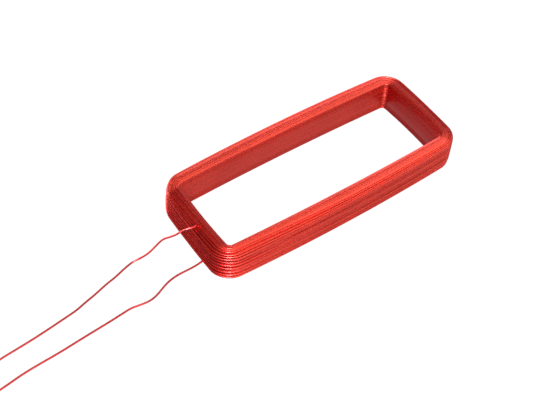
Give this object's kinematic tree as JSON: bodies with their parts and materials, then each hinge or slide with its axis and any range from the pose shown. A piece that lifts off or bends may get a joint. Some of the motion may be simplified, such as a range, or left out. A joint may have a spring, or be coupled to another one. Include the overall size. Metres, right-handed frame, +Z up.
{
  "type": "rfid antenna coil",
  "caption": "Flat rectangular air-core antenna coil of self-bonding enamelled copper wire, with both bare wire ends as free leads at one end.",
  "frame": {"origin": "centre of the winding's underside", "axes": "+X along the long sides, away from the end that the leads leave; +Z up through the window"},
  "size_m": [0.0917, 0.0206, 0.0065],
  "materials": {
    "enamelled_copper": "glossy red-copper enamel over copper wire",
    "enamelled_copper_lead": "glossy red-copper enamel over copper wire"
  },
  "bodies": {
    "root": {"winding": "enamelled_copper", "start_lead": "enamelled_copper_lead", "finish_lead": "enamelled_copper_lead"}
  },
  "joints": []
}
